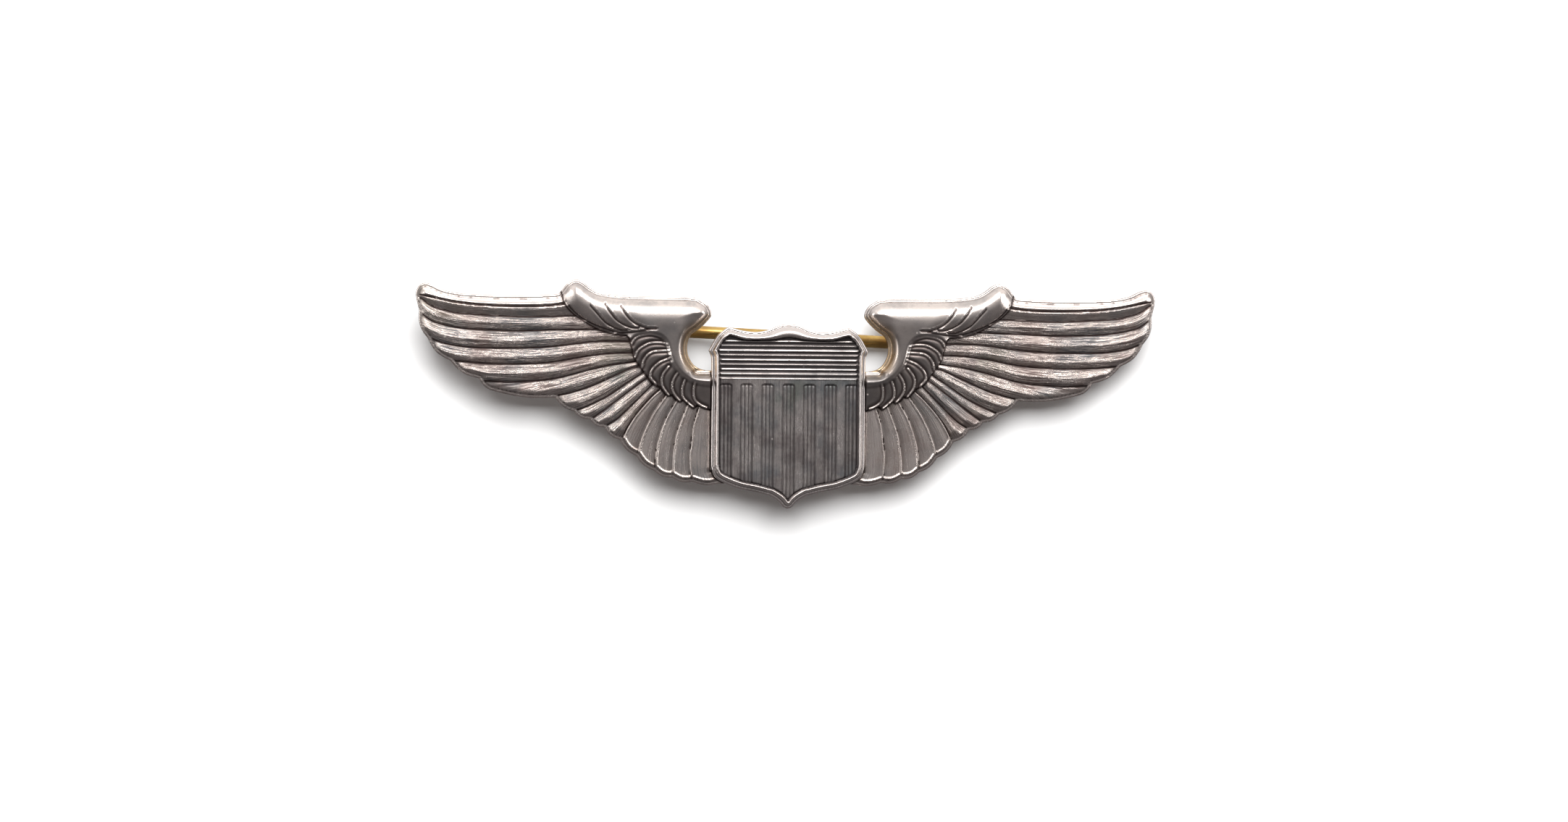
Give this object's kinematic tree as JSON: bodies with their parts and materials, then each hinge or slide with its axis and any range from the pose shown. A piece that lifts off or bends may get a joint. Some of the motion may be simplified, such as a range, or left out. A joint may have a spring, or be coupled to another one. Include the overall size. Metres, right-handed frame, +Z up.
{
  "type": "winged badge brooch",
  "caption": "Die-struck winged badge with a striped centre shield, worn with a hinged pin stem and a turning safety catch on its back.",
  "frame": {"origin": "centre of the badge's flat back: on the middle line between the wing tips, in the plane of the back", "axes": "+X to the viewer's right along the wings, +Z up as worn, -Y out of the decorated face, +Y into the cloth"},
  "size_m": [0.0762, 0.0068, 0.0233],
  "materials": {
    "silver_wings": "die-struck sterling silver, polished on the high lines, tarnished in the grooves",
    "silver_shield": "die-struck sterling silver with a darker, greyer tarnish",
    "solder": "dull silver solder",
    "brass": "stamped brass, dulled",
    "stem_brass": "drawn brass wire, bright on top"
  },
  "bodies": {
    "badge": {"wings_plate": "silver_wings", "shield": "silver_shield", "shield_solder": "solder", "hinge_patch": "brass", "hinge_solder": "solder", "hinge_joint": "brass", "hinge_rivet": "brass", "catch_patch": "brass", "catch_solder": "solder", "catch_housing": "brass"},
    "stem": {"pin_stem": "stem_brass"},
    "rotor": {"catch_rotor": "brass"}
  },
  "joints": [
    {"name": "pin_open", "type": "hinge", "parent": "badge", "child": "stem", "pos_m": [-0.02098, 0.00255, 0.00695], "axis": [0.0454, 0, 0.999], "range_deg": [0, 110]},
    {"name": "catch_turn", "type": "hinge", "parent": "badge", "child": "rotor", "pos_m": [0.01948, 0.00255, 0.00512], "axis": [-0.999, 0, 0.0454], "range_deg": [0, 100]}
  ]
}
